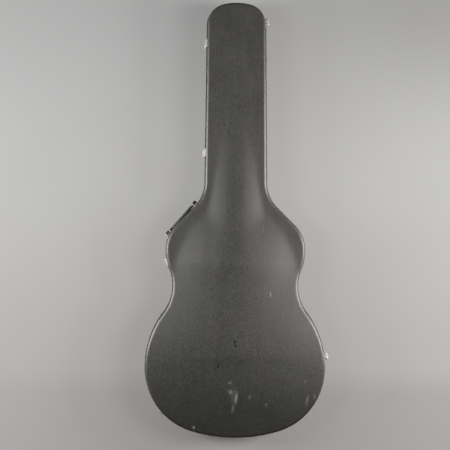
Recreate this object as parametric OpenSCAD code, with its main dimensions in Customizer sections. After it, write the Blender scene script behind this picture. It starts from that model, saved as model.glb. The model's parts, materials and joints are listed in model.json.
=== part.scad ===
// Hard-shell guitar case, lying on its back with the lid up.
// +Y runs from the tail to the head, the handle and latches are on -X, the hinges on +X.
// The origin is on the back face, on the centre line, half way along the length.

/* [Outline] */
// Length of the case over its edge binding, tail to head
case_len = 1110; // [1090:5:1130]
// Width across the lower bout
lower_w = 463; // [457:1:469]
// Distance from the tail to the widest line of the lower bout
lower_y = 178; // [172:1:184]
// Width across the waist
waist_w = 323; // [318:1:328]
// Distance from the tail to the narrowest line of the waist
waist_y = 387; // [382:1:392]
// Width across the upper bout
upper_w = 358; // [354:1:362]
// Distance from the tail to the widest line of the upper bout
upper_y = 478; // [474:1:482]
// Width of the neck part where the shoulders run into it
neck_w = 161; // [156:1:166]
// Angle at which each side of the neck part closes in towards the head
neck_taper = 0.58; // [0.3:0.01:0.8]

/* [Depth] */
// Height of the seam between body and lid above the back face
seam_z = 88; // [84:1:94]
// Height of the flat border of the lid above the back face
lid_z = 120; // [118:1:126]
// Rise of the arched lid above its flat border
arch_rise = 22; // [18:1:26]

/* [Walls] */
// Thickness of the vinyl cover
cover_t = 1; // [0.8:0.1:1.4]
// Thickness of the plywood
ply_t = 4; // [3:0.5:5]
// Thickness of the plush lining
plush_t = 3; // [2:0.5:4]
// Thickness of the pad on the bottom of the case
pad_t = 8; // [6:1:12]
// How far the edge binding stands out of the sides
bead_out = 2.5; // [2:0.1:3]
// Height of the edge binding on each half
bead_h = 4.3; // [3.5:0.1:5]

/* [Latches] */
// Width of a latch along the seam
latch_w = 24; // [23:0.5:25]
// Largest opening angle of a latch lever, which the joints use
latch_open = 115; // [100:5:115]

/* [Handle] */
// Distance between the two legs of the handle
handle_span = 104; // [100:1:108]
// Distance of the handle's swing axis from the wall
handle_out = 9.4; // [9.3:0.1:10]

/* [Hinges] */
// Length of the barrel of a hinge
hinge_len = 12.6; // [12:0.1:14]
// Radius of a hinge knuckle
knuckle_r = 4; // [3.8:0.1:4.2]

/* [Hidden] */
$fn = 48;
arc_step = 5;        // largest angle between two points of an outline arc
gap = 0.2;           // each half's clearance from the seam plane
running = 0.05;      // radial clearance of a pin in a turning hole
eps = 0.01;

// Outline radii, and the side centres that make neighbouring arcs tangent.
tail_r = 400;
flank_cx = -5;
shoulder_cx = 87;
shoulder_end = 45;
neck_join_r = 90;
head_corner_r = 55;
head_top_r = 140;

lower_cx = (pow(tail_r - lower_y, 2) - pow(tail_r - lower_w / 2, 2)) / (2 * (tail_r - lower_w / 2));
lower_r = lower_w / 2 - lower_cx;
lower_start = atan2(lower_y - tail_r, lower_cx);
flank_r = lower_w / 2 - flank_cx;
waist_half = waist_w / 2 - flank_cx;
waist_r = (pow(waist_half, 2) + pow(waist_y - lower_y, 2) - pow(flank_r, 2)) / (2 * (flank_r - waist_half));
waist_cx = waist_w / 2 + waist_r;
flank_end = atan2(waist_y - lower_y, waist_cx - flank_cx);
upper_reach = upper_w / 2 + waist_r;
upper_cx = (pow(upper_reach, 2) - pow(waist_cx, 2) - pow(upper_y - waist_y, 2))
    / (2 * (upper_reach - waist_cx));
upper_r = upper_w / 2 - upper_cx;
waist_end = atan2(upper_y - waist_y, upper_cx - waist_cx);
shoulder_r = upper_w / 2 - shoulder_cx;
neck_join_cx = neck_w / 2 + neck_join_r;
neck_join_cy = shoulder_cx + upper_y + sqrt(2) * (shoulder_r + neck_join_r) - neck_join_cx;
// The straight side of the neck part is x cos(taper) + y sin(taper) = neck_line.
neck_line = neck_join_cx * cos(neck_taper) + neck_join_cy * sin(neck_taper) - neck_join_r;
function neck_x(y, inset = 0) = (neck_line - inset - y * sin(neck_taper)) / cos(neck_taper);
head_cy = case_len - head_top_r;
function corner_y(x) = head_cy + sqrt(pow(head_top_r - head_corner_r, 2) - x * x);
corner_guess = corner_y(neck_x(head_cy, head_corner_r));
corner_cy = corner_y(neck_x(corner_guess, head_corner_r));
corner_cx = neck_x(corner_cy, head_corner_r);
corner_end = atan2(corner_cy - head_cy, corner_cx);

// Right half of the outline over the binding: centre x, centre y from the tail, radius, start
// angle, end angle, 1 for a bulging arc or -1 for a hollow one, and 1 if it starts where the last
// arc ends.
ARCS = [
    [0, tail_r, tail_r, -90, lower_start, 1, 0],
    [lower_cx, lower_y, lower_r, lower_start, 0, 1, 1],
    [flank_cx, lower_y, flank_r, 0, flank_end, 1, 1],
    [waist_cx, waist_y, waist_r, 180 + flank_end, waist_end, -1, 1],
    [upper_cx, upper_y, upper_r, waist_end - 180, 0, 1, 1],
    [shoulder_cx, upper_y, shoulder_r, 0, shoulder_end, 1, 1],
    [neck_join_cx, neck_join_cy, neck_join_r, 180 + shoulder_end, 180 + neck_taper, -1, 0],
    [corner_cx, corner_cy, head_corner_r, neck_taper, corner_end, 1, 0],
    [0, head_cy, head_top_r, corner_end, 90, 1, 1],
];

// The outline d outside the wall, which lies bead_out inside the binding's outer edge.
function arc_point(arc, a, d = 0) =
    let (r = arc[2] + arc[5] * (d - bead_out))
    [arc[0] + r * cos(a), arc[1] - case_len / 2 + r * sin(a)];
function arc_points(arc, d) =
    let (n = ceil(abs(arc[4] - arc[3]) / arc_step))
    [for (i = [arc[6] : n]) arc_point(arc, arc[3] + (arc[4] - arc[3]) * i / n, d)];
function half_outline(d) = [for (arc = ARCS) each arc_points(arc, d)];
function mirrored(points) = [for (i = [len(points) - 1 : -1 : 0]) [-points[i].x, points[i].y]];
function outline(d) =
    let (right = half_outline(d), left = mirrored(right))
    concat(right, [for (i = [1 : len(left) - 2]) left[i]]);

// Places on the right wall, on bulging arcs or the straight neck part: [point, direction of the
// outward normal, radius of the wall there].
function on_arc(n, a) = [arc_point(ARCS[n], a), a, ARCS[n][2] - bead_out];
function on_neck(y) = [[neck_x(y, bead_out), y - case_len / 2], neck_taper, 1e5];
function moved(spot, along) =
    let (a = spot[1] + along / spot[2] * 180 / PI)
    [spot[0] + spot[2] * ([cos(a), sin(a)] - [cos(spot[1]), sin(spot[1])]), a, spot[2]];

// Heights
panel_z = cover_t + ply_t;
pad_z = panel_z + pad_t;
rim_top = lid_z - ply_t;
body_bead_z = seam_z - gap - bead_h;
lid_bead_z = seam_z + gap;

// Offsets of the walls from the outer face, inwards negative
ply_out = -cover_t;
ply_in = -cover_t - ply_t;
plush_in = ply_in - plush_t;
panel_edge = -4;     // the lid panel stops short, so that the shoulder can be round
shoulder_step = 3;   // height and width of the step in the cover around the lid panel

// The arched lid: domes are [y from the tail, rise, radius], barrels are
// [first y, its rise, last y, its rise, radius], all above the flat border.
function dome_radius(spread, rise) = (spread * spread + rise * rise) / (2 * rise);
DOMES = [
    [215, arch_rise, dome_radius(240, arch_rise)],
    [440, 0.77 * arch_rise, dome_radius(140, 0.77 * arch_rise)],
];
BARRELS = [
    [215, arch_rise - 0.7, 440, 0.77 * arch_rise - 0.7, 560],
    [440, 0.75 * arch_rise, 830, -0.25, 200],
];

// Latches: place on the wall (mirrored to -X)
LATCH_NAMES = ["head", "neck", "upper", "tail"];
LATCH_SPOTS = [on_neck(1006), on_neck(727), on_arc(4, -14.1), on_arc(1, -42.8)];
pivot_x = 5.2;       // lever pivot, out from the wall
pivot_z = seam_z - 14;
crank_r = 7;         // from the lever pivot to the bail's ends
crank_a = 10;        // how far the crank leans inwards past the pivot
bail_x = pivot_x - crank_r * sin(crank_a);
bail_z = pivot_z - crank_r * cos(crank_a);
bar_z = seam_z + 8;  // the bail's crossbar, above the seam
wire_r = 1.1;
pin_r = 1.25;
leg_y = latch_w / 2 - 1.5;
plate_t = 1.5;
ear_t = 1.5;
lever_w = 2 * (leg_y - wire_r - ear_t - 0.6);
lever_t = 1.3;
lever_h = 27;        // from the pivot to the lever's lower edge
lever_back = 1.9;    // inner edge of the lever, out from the wall
lever_front = 9.3;   // outermost point of the lever
lever_r = 30;        // of the lever's bulge
barrel_r = 3;        // round the lever's pivot
ear_r = 3.2;
catch_w = 20;
catch_t = 1.2;
hook_w = 15;

// Handle: its swing axis is parallel to the line between the two brackets.
handle_low = on_arc(5, 23)[0];
handle_high = arc_point(ARCS[6], 218);
handle_mid = (handle_low + handle_high) / 2;
handle_along = handle_low - handle_high;
handle_spot = [handle_mid, 90 + atan2(handle_along.y, handle_along.x)];
handle_z = 52;
leg_r = 3.5;
bend_r = 14;
grip_z = handle_z - 28;
grip_r = 4.2;
grip_lift = 4.4;     // half the distance between the two round edges of the grip
grip_len = 70;
eye_r = 4.6;
eye_w = 11;
handle_pin_r = 1.8;
bracket_w = 26;
bracket_h = 30;
bracket_ear_r = 4;

// Hinges: one straight axis outside the two places where the wall comes furthest out.
hinge_out = bead_out + knuckle_r + 0.3;
corner_gap = [corner_cx - flank_cx, corner_cy - lower_y];
hinge_normal = asin((flank_r - head_corner_r) / norm(corner_gap)) - atan2(corner_gap.x, corner_gap.y);
hinge_dir = [cos(hinge_normal), sin(hinge_normal)];
hinge_line = [flank_cx, lower_y] * hinge_dir + flank_r - bead_out;
// Each hinge: [place where the wall touches that line, distance of the hinge along it].
HINGES = [[on_arc(2, hinge_normal), -14], [on_arc(7, hinge_normal), 0]];
HINGE_SPOTS = [for (h = HINGES)
    [h[0][0] + h[1] * [-sin(hinge_normal), cos(hinge_normal)], hinge_normal]];
HINGE_NAMES = ["lower", "head"];
hinge_rivet_y = [-8.5, 0, 8.5];
middle_w = hinge_len * 0.36;
hinge_gap = 0.2;
leaf_w = 30;
leaf_h = 19;
leaf_t = 1.2;
hinge_pin_r = 1.6;
finial_r = 3.6;

// Inside: the pocket under the neck and the block that carries the neck
pocket_y = [640, 708];
pocket_top = 38;
seat_gap = 0.4;      // the closed pocket lid clears its walls by this
board_t = 4;
inside_half = 68;
rest_y = [768, 806];
rest_top = 70;
cradle_r = 34;
lip_t = 2;
lip_h = 6;
lip_gap = 0.5;       // the lid's lining clears the dust lip by this
tab_size = [16, 24, 1.2];
tab_reach = 4;       // how far the pocket's pull tab stands out over the pocket wall

vinyl = [0.13, 0.13, 0.12];
nickel = [0.72, 0.71, 0.68];
plush = [0.33, 0.06, 0.09];
wood = [0.62, 0.46, 0.29];

FIXED_NODES = [
    "body_rim_left", "body_rim_right", "back_panel", "back_cover", "body_side_cover",
    "body_binding", "body_lining", "bottom_pad", "dust_lip", "neck_rest",
    "pocket_wall_body", "pocket_wall_head", "pocket_lid", "pocket_tab",
    "lid_rim_left", "lid_rim_right", "lid_panel", "lid_cover", "lid_side_cover",
    "lid_binding", "lid_lining", "latch_pins", "latch_rivets", "catch_rivets",
    "handle_core", "handle_grip", "handle_bracket_upper", "handle_bracket_lower", "handle_pins",
    "hinge_pins", "hinge_body_rivets", "hinge_lid_rivets",
];

// ---- shapes shared by several sub-parts ----

module prism(d, z0, z1) {
    translate([0, 0, z0]) linear_extrude(z1 - z0) polygon(outline(d));
}

module ring(inner, outer, z0, z1) {
    translate([0, 0, z0]) linear_extrude(z1 - z0) difference() {
        polygon(outline(outer));
        polygon(outline(inner));
    }
}

// Half of a wall: side is 1 for +X or -1 for -X.
module half_ring(side, inner, outer, z0, z1) {
    mirror([side < 0 ? 1 : 0, 0, 0]) translate([0, 0, z0]) linear_extrude(z1 - z0)
        polygon(concat(half_outline(outer), [for (p = mirrored(half_outline(inner))) [-p.x, p.y]]));
}

// Everything under the arched surface, t above it.
module under_arch(t) {
    translate([-300, -case_len / 2 - 10, seam_z]) cube([600, case_len + 20, lid_z + t - seam_z]);
    for (dome = DOMES)
        translate([0, dome[0] - case_len / 2, lid_z + dome[1] - dome[2]]) sphere(dome[2] + t, $fn = 90);
    for (b = BARRELS) {
        run = b[2] - b[0];
        slope = atan2(b[3] - b[1], run);
        translate([0, b[0] - case_len / 2, lid_z + b[1]]) rotate([slope, 0, 0])
            translate([0, 0, -b[4]]) rotate([-90, 0, 0])
            cylinder(h = run / cos(slope), r = b[4] + t, $fn = 90);
    }
}

module arched_block(d, z0, t) {
    intersection() {
        prism(d, z0, lid_z + arch_rise + 20);
        under_arch(t);
    }
}

// Local frame at a place on the wall: X outwards, Y along the wall, Z up.
module right_wall(spot) {
    translate([spot[0].x, spot[0].y, 0]) rotate([0, 0, spot[1]]) children();
}

module left_wall(spot) {
    mirror([1, 0, 0]) right_wall(spot) children();
}

// A plate bent to the wall, w long and t thick, at one place along it.
module wall_patch(spot, left, w, z0, z1, t) {
    intersection() {
        ring(0, t, z0, z1);
        if (left) left_wall(spot) translate([-15, -w / 2, z0]) cube([30, w, z1 - z0]);
        else right_wall(spot) translate([-15, -w / 2, z0]) cube([30, w, z1 - z0]);
    }
}

// Extrudes a profile drawn in the local X-Z plane along Y, centred.
module along_wall(w) {
    translate([0, w / 2, 0]) rotate([90, 0, 0]) linear_extrude(w) children();
}

module rod_y(x, z, r, w) {
    translate([x, -w / 2, z]) rotate([-90, 0, 0]) cylinder(h = w, r = r);
}

module rivet(x, y, z, r) {
    translate([x, y, z]) rotate([0, 90, 0]) intersection() {
        translate([0, 0, -1.2]) sphere(r + 0.3);
        cylinder(h = 2 * r, r = r);
    }
}

// ---- body ----

module body_rim(side) {
    color(wood) half_ring(side, ply_in, ply_out, panel_z, seam_z - gap);
}

module back_panel() {
    color(wood) prism(ply_out, cover_t, panel_z);
}

module back_cover() {
    color(vinyl) prism(0, 0, cover_t);
}

module body_side_cover() {
    color(vinyl) ring(ply_out, 0, cover_t, seam_z - gap);
}

module body_binding() {
    color(vinyl) ring(0, bead_out, body_bead_z, seam_z - gap);
}

module body_lining() {
    color(plush) ring(plush_in, ply_in, panel_z, seam_z - gap);
}

module bottom_pad() {
    color(plush) prism(plush_in, panel_z, pad_z);
}

module dust_lip() {
    color(plush) ring(plush_in - lip_t, plush_in, seam_z - 3 * lip_h, seam_z + lip_h);
}

module neck_rest() {
    color(plush) translate([0, -case_len / 2, 0]) difference() {
        translate([-inside_half + 4, rest_y[0], pad_z])
            cube([2 * (inside_half - 4), rest_y[1] - rest_y[0], rest_top - pad_z]);
        translate([0, rest_y[0] - 1, rest_top + 12]) rotate([-90, 0, 0])
            cylinder(h = rest_y[1] - rest_y[0] + 2, r = cradle_r);
    }
}

module pocket_wall(y) {
    color(plush) translate([-inside_half, y - case_len / 2 - board_t / 2, pad_z])
        cube([2 * inside_half, board_t, pocket_top - pad_z]);
}

module pocket_lid() {
    color(plush) translate([1 - inside_half, pocket_y[0] - board_t / 2 - case_len / 2, pocket_top + seat_gap])
        cube([2 * (inside_half - 1), pocket_y[1] - pocket_y[0] + board_t / 2, board_t]);
}

module pocket_tab() {
    color(vinyl) translate([-tab_size.x / 2, pocket_y[0] - case_len / 2 - board_t / 2 - tab_reach,
        pocket_top + seat_gap + board_t]) cube(tab_size);
}

// ---- lid ----

module lid_rim(side) {
    color(wood) half_ring(side, ply_in, ply_out, seam_z + gap, rim_top);
}

module lid_panel() {
    color(wood) difference() {
        arched_block(panel_edge, rim_top, 0);
        under_arch(-ply_t);
    }
}

module lid_cover() {
    color(vinyl) difference() {
        union() {
            prism(0, rim_top - shoulder_step, lid_z - shoulder_step);
            arched_block(-shoulder_step, rim_top - shoulder_step, cover_t);
        }
        prism(ply_out, rim_top - 2 * shoulder_step, rim_top);
        arched_block(panel_edge, rim_top - 2 * shoulder_step, 0);
    }
}

module lid_side_cover() {
    color(vinyl) ring(ply_out, 0, seam_z + gap, rim_top - shoulder_step);
}

module lid_binding() {
    color(vinyl) ring(0, bead_out, lid_bead_z, lid_bead_z + bead_h);
}

module lid_lining() {
    color(plush) difference() {
        arched_block(ply_in, seam_z + gap, -ply_t);
        arched_block(plush_in + lip_gap, seam_z + gap - 1, -ply_t - plush_t);
    }
}

// ---- latches ----

module latch_ear() {
    difference() {
        union() {
            translate([pivot_x, pivot_z]) circle(ear_r);
            translate([0.4, pivot_z - ear_r]) square([pivot_x - 0.4, 2 * ear_r]);
        }
        translate([pivot_x, pivot_z]) circle(pin_r);
    }
}

module latch_plate(spot) {
    color(nickel) {
        wall_patch(spot, true, latch_w, seam_z - 44, body_bead_z - 0.5, plate_t);
        left_wall(spot) for (side = [-1, 1])
            translate([0, side * (lever_w / 2 + 0.3 + ear_t / 2), 0]) along_wall(ear_t) latch_ear();
    }
}

// Profile of the lever below its pivot in the X-Z plane: a bulging shell that hangs down.
module lever_profile(inset, back, top) {
    low = pivot_z - lever_h + inset;
    intersection() {
        translate([lever_front - lever_r, pivot_z - lever_h / 2]) circle(lever_r - inset);
        translate([back, low]) square([lever_front, top - low]);
    }
}

module latch_lever(spot) {
    lip = 3;
    color(nickel) left_wall(spot) difference() {
        union() {
            along_wall(lever_w) lever_profile(0, lever_back, pivot_z);
            rod_y(pivot_x, pivot_z, barrel_r, lever_w);
            translate([pivot_x, -2 * lip, pivot_z - lever_h - lip + 1]) cube([lip, 4 * lip, lip]);
        }
        along_wall(lever_w - 2 * lever_t) lever_profile(lever_t, lever_back - 1, pivot_z - barrel_r - 0.2);
        rod_y(pivot_x, pivot_z, pin_r + running, lever_w + 2);
        rod_y(bail_x, bail_z, wire_r + running, lever_w + 2);
    }
}

module latch_bail(spot) {
    color(nickel) left_wall(spot) {
        for (side = [-1, 1]) {
            translate([bail_x, side * leg_y, bail_z]) cylinder(h = bar_z - bail_z, r = wire_r);
            for (z = [bail_z, bar_z]) translate([bail_x, side * leg_y, z]) sphere(wire_r);
            stub = leg_y - lever_w / 2 + lever_t;
            translate([0, side * (leg_y - stub / 2), 0]) rod_y(bail_x, bail_z, wire_r, stub);
        }
        rod_y(bail_x, bar_z, wire_r, 2 * leg_y);
    }
}

module latch_catch(spot) {
    hook_x = bail_x + wire_r + 1.95;
    ledge_z = seam_z + gap + bead_h + 0.5;
    color(nickel) {
        wall_patch(spot, true, catch_w, ledge_z, ledge_z + 19, catch_t);
        left_wall(spot) along_wall(hook_w) polygon([
            [0.3, ledge_z], [hook_x + catch_t, ledge_z], [hook_x + catch_t, ledge_z + 3.4],
            [hook_x, ledge_z + 3.4], [hook_x, ledge_z + catch_t], [0.3, ledge_z + catch_t],
        ]);
    }
}

module latch_pins() {
    color(nickel) for (spot = LATCH_SPOTS)
        left_wall(spot) rod_y(pivot_x, pivot_z, pin_r, lever_w + 0.6 + 2 * ear_t);
}

module latch_rivets() {
    color(nickel) for (spot = LATCH_SPOTS, side = [-1, 1])
        left_wall(moved(spot, side * (lever_w / 2 + 1.9))) rivet(plate_t, 0, seam_z - 40.5, 2);
}

module catch_rivets() {
    color(nickel) for (spot = LATCH_SPOTS, side = [-1, 1])
        left_wall(moved(spot, side * 6.5)) rivet(catch_t, 0, seam_z + 20, 2);
}

// ---- handle ----

module handle_core() {
    leg_drop = handle_z - grip_z - bend_r;
    color(vinyl) left_wall(handle_spot) {
        for (side = [0, 1]) mirror([0, side, 0]) {
            translate([handle_out, handle_span / 2, 0]) difference() {
                union() {
                    rod_y(0, handle_z, eye_r, eye_w);
                    translate([0, 0, handle_z - leg_drop]) cylinder(h = leg_drop, r = leg_r);
                }
                rod_y(0, handle_z, handle_pin_r + running, eye_w + 2);
            }
            translate([handle_out, handle_span / 2 - bend_r, grip_z + bend_r])
                rotate([90, 0, 90]) rotate([0, 0, -90])
                rotate_extrude(angle = 90) translate([bend_r, 0]) circle(leg_r);
        }
        rod_y(handle_out, grip_z, leg_r, handle_span - 2 * bend_r);
    }
}

module handle_grip() {
    color(vinyl) left_wall(handle_spot) difference() {
        along_wall(grip_len) translate([handle_out, grip_z]) union() {
            for (side = [-1, 1]) translate([0, side * grip_lift]) circle(grip_r);
            translate([-grip_r, -grip_lift]) square([2 * grip_r, 2 * grip_lift]);
        }
        rod_y(handle_out, grip_z, leg_r, grip_len + 2);
    }
}

module bracket_ear() {
    difference() {
        union() {
            translate([handle_out, handle_z]) circle(bracket_ear_r);
            translate([-6, handle_z - bracket_ear_r]) square([handle_out + 6, 2 * bracket_ear_r]);
        }
        translate([handle_out, handle_z]) circle(handle_pin_r);
    }
}

module handle_bracket(side) {
    ear_offset = eye_w / 2 + 1.3;
    foot = [handle_spot[0] + side * handle_span / 2 * [-sin(handle_spot[1]), cos(handle_spot[1])],
        handle_spot[1]];
    color(nickel) {
        wall_patch(foot, true, bracket_w, handle_z - bracket_h / 2, handle_z + bracket_h / 2, plate_t);
        difference() {
            left_wall(handle_spot) for (ear = [-1, 1])
                translate([0, side * handle_span / 2 + ear * ear_offset, 0]) along_wall(2) bracket_ear();
            prism(0.2, handle_z - 20, handle_z + 20);
        }
    }
}

module handle_pins() {
    color(nickel) left_wall(handle_spot) for (side = [-1, 1])
        translate([0, side * handle_span / 2, 0]) rod_y(handle_out, handle_z, handle_pin_r, eye_w + 4.6);
}

// ---- hinges ----

// One leaf: dir is -1 for the body's, below the seam, and 1 for the lid's, above it. The knuckle
// stands on a web that passes outside the edge binding.
module hinge_leaf(spot, dir) {
    foot_z = bead_h + gap + 0.3;
    web_z = foot_z + leaf_t;
    z0 = dir > 0 ? seam_z + foot_z : seam_z - foot_z - leaf_h;
    side_w = (hinge_len - middle_w) / 2 - hinge_gap;
    tabs = dir > 0 ? [0] : [-1, 1];
    tab_w = dir > 0 ? middle_w : side_w;
    hole_r = dir > 0 ? hinge_pin_r + running : hinge_pin_r;
    color(nickel) {
        wall_patch(spot, false, leaf_w, z0, z0 + leaf_h, leaf_t);
        difference() {
            right_wall(spot) for (tab = tabs)
                translate([0, tab * (hinge_len - side_w) / 2, 0]) along_wall(tab_w) difference() {
                    union() {
                        translate([hinge_out, seam_z]) circle(knuckle_r);
                        translate([hinge_out - knuckle_r, min(seam_z, seam_z + dir * web_z)])
                            square([leaf_t, web_z]);
                        translate([-leaf_t, min(seam_z + dir * foot_z, seam_z + dir * web_z)])
                            square([hinge_out - knuckle_r + 2 * leaf_t, leaf_t]);
                    }
                    translate([hinge_out, seam_z]) circle(hole_r);
                }
            prism(0.2, seam_z - web_z - 1, seam_z + web_z + 1);
        }
    }
}

module hinge_pins() {
    color(nickel) for (spot = HINGE_SPOTS) right_wall(spot) {
        rod_y(hinge_out, seam_z, hinge_pin_r, hinge_len + 0.4);
        for (side = [-1, 1]) translate([hinge_out, side * (hinge_len / 2 + 0.2), seam_z])
            rotate([-90 * side, 0, 0]) intersection() {
                sphere(finial_r);
                cylinder(h = finial_r, r = finial_r);
            }
    }
}

module hinge_rivets(dir) {
    color(nickel) for (h = HINGES, y = hinge_rivet_y)
        right_wall(moved(h[0], h[1] + y)) rivet(leaf_t, 0, seam_z + dir * (y == 0 ? 14 : 17), 2);
}

// ---- nodes ----

body_rim(-1);  // body_rim_left
body_rim(1);  // body_rim_right
back_panel();
back_cover();
body_side_cover();
body_binding();
body_lining();
bottom_pad();
dust_lip();
neck_rest();
pocket_wall(pocket_y[0]);  // pocket_wall_body
pocket_wall(pocket_y[1]);  // pocket_wall_head
pocket_lid();
pocket_tab();
lid_rim(-1);  // lid_rim_left
lid_rim(1);  // lid_rim_right
lid_panel();
lid_cover();
lid_side_cover();
lid_binding();
lid_lining();
latch_pins();
latch_rivets();
catch_rivets();
handle_core();
handle_grip();
handle_bracket(1);  // handle_bracket_upper
handle_bracket(-1);  // handle_bracket_lower
handle_pins();
hinge_pins();
hinge_rivets(-1);  // hinge_body_rivets
hinge_rivets(1);  // hinge_lid_rivets
for (i = [0 : len(LATCH_NAMES) - 1]) {
    latch_plate(LATCH_SPOTS[i]);
    latch_lever(LATCH_SPOTS[i]);
    latch_bail(LATCH_SPOTS[i]);
    latch_catch(LATCH_SPOTS[i]);
}
for (i = [0 : len(HINGE_NAMES) - 1]) {
    hinge_leaf(HINGE_SPOTS[i], -1);
    hinge_leaf(HINGE_SPOTS[i], 1);
}
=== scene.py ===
"""A black hard-shell guitar case with an arched lid, nickel latches and hinges and a plush lining.

The case lies on its back: +Y is the head, +Z the lid, -X the handle side. Lengths are in metres.
"""
import json
import math
import bmesh
import bpy
import numpy as np
from mathutils import Matrix, Vector, noise
from mathutils.kdtree import KDTree


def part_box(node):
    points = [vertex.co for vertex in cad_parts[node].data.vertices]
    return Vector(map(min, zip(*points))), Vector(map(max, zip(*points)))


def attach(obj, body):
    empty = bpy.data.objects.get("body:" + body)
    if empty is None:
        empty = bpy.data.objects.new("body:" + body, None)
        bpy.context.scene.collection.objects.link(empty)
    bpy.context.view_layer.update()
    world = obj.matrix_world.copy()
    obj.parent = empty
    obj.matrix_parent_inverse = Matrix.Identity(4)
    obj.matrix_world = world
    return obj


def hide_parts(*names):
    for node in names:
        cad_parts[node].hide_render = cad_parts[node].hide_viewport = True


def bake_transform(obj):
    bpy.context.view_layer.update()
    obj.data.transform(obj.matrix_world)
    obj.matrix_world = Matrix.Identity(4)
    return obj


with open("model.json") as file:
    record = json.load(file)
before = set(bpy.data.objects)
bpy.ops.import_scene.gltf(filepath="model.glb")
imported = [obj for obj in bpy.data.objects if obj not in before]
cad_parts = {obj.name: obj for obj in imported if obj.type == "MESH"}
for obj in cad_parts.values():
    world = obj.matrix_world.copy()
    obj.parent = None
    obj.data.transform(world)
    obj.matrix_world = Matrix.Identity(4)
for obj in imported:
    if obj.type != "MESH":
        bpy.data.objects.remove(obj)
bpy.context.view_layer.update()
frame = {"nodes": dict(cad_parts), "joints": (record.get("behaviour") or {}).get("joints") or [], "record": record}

NODES = frame["nodes"]
JOINTS = {j["name"]: j for j in frame["joints"]}
MM = 0.001

# Heights and edges, read from the frame
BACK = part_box("back_cover")
SEAM_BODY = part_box("body_side_cover")[1].z
SEAM_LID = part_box("lid_side_cover")[0].z
BORDER_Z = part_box("lid_side_cover")[1].z + 8 * MM      # flat border of the lid
TAIL_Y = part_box("body_binding")[0].y
BEAD_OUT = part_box("body_binding")[1].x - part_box("body_side_cover")[1].x
BEAD_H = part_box("body_binding")[1].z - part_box("body_binding")[0].z
PAD_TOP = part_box("bottom_pad")[1].z

# ---------------------------------------------------------------- outline


def outline_corners(node):
    """The corners of a flat node's outline, anticlockwise from the tail. Each half is a function of y."""
    points = {(round(v.co.x, 5), round(v.co.y, 5)) for v in NODES[node].data.vertices}
    tiny = 1e-4
    right = sorted((p for p in points if p[0] > tiny), key=lambda p: p[1])
    left = sorted((p for p in points if p[0] < -tiny), key=lambda p: -p[1])
    middle = sorted((p for p in points if abs(p[0]) <= tiny), key=lambda p: p[1])
    return np.array([middle[0]] + right + [middle[-1]] + left)


def smooth_loop(corners, spacing):
    """Points along a smooth closed curve through the corners, with their outward normals."""
    after = np.roll(corners, -1, axis=0) - corners
    length = np.linalg.norm(after, axis=1)
    direction = after / length[:, None]
    before, before_len = np.roll(direction, 1, axis=0), np.roll(length, 1)
    tangent = before * length[:, None] + direction * before_len[:, None]
    for i in range(len(corners)):
        if length[i] > 3 * before_len[i]:
            tangent[i] = direction[i]
        elif before_len[i] > 3 * length[i]:
            tangent[i] = before[i]
    tangent /= np.linalg.norm(tangent, axis=1)[:, None]
    points, tangents = [], []
    for i in range(len(corners)):
        j = (i + 1) % len(corners)
        steps = max(1, math.ceil(length[i] / spacing))
        for k in range(steps):
            t = k / steps
            a, b = tangent[i] * length[i], tangent[j] * length[i]
            p, q = corners[i], corners[j]
            points.append((2 * t**3 - 3 * t**2 + 1) * p + (t**3 - 2 * t**2 + t) * a
                          + (3 * t**2 - 2 * t**3) * q + (t**3 - t**2) * b)
            d = ((6 * t**2 - 6 * t) * p + (3 * t**2 - 4 * t + 1) * a
                 + (6 * t - 6 * t**2) * q + (3 * t**2 - 2 * t) * b)
            tangents.append(d / np.linalg.norm(d))
    points, tangents = np.array(points), np.array(tangents)
    return points, np.stack([tangents[:, 1], -tangents[:, 0]], axis=1)


CORNERS = outline_corners("back_cover")
LOOP, NORMAL = smooth_loop(CORNERS, 4 * MM)


# ---------------------------------------------------------------- the arched lid

# Domes: distance of the middle from the tail, rise, radius of curvature. Barrels run along the centre
# line: start, rise there, end, rise there, radius. The same shapes as the frame's lid, blended.
DOMES = [(0.215, 0.022, 1.32), (0.440, 0.0165, 0.600)]
BARRELS = [(0.215, 0.0212, 0.440, 0.0162, 0.56), (0.440, 0.0165, 0.830, -0.0003, 0.200)]
BLEND = 0.005


def smooth_max(a, b, soft=BLEND):
    return (a + b + np.sqrt((a - b) ** 2 + soft**2)) / 2


def arch(x, y):
    """Height of the lid above its flat border."""
    run = y - TAIL_Y
    height = np.full_like(x, -0.02)
    for middle, rise, radius in DOMES:
        height = smooth_max(height, rise - (x**2 + (run - middle) ** 2) / (2 * radius))
    for start, low, end, high, radius in BARRELS:
        along = np.clip((run - start) / (end - start), 0, 1)
        past = np.maximum(start - run, 0) + np.maximum(run - end, 0)
        top = low + (high - low) * along - past**2 / 0.1
        height = smooth_max(height, top - x**2 / (2 * radius))
    return smooth_max(np.zeros_like(x), height, BLEND / 2) - BLEND**2 / 0.2


# ---------------------------------------------------------------- mesh helpers


def new_object(name, verts, faces, smooth=True):
    mesh = bpy.data.meshes.new(name)
    mesh.from_pydata([tuple(map(float, v)) for v in verts], [], [tuple(map(int, f)) for f in faces])
    obj = bpy.data.objects.new(name, mesh)
    bpy.context.scene.collection.objects.link(obj)
    clean = bmesh.new()
    clean.from_mesh(mesh)
    bmesh.ops.remove_doubles(clean, verts=clean.verts, dist=2e-6)
    bmesh.ops.dissolve_degenerate(clean, edges=clean.edges, dist=1e-6)
    bmesh.ops.recalc_face_normals(clean, faces=clean.faces)
    clean.to_mesh(mesh)
    clean.free()
    for polygon in mesh.polygons:
        polygon.use_smooth = smooth
    return obj


def apply_modifiers(obj):
    bpy.context.view_layer.update()
    graph = bpy.context.evaluated_depsgraph_get()
    mesh = bpy.data.meshes.new_from_object(obj.evaluated_get(graph))
    obj.modifiers.clear()
    obj.data = mesh
    return obj


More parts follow.
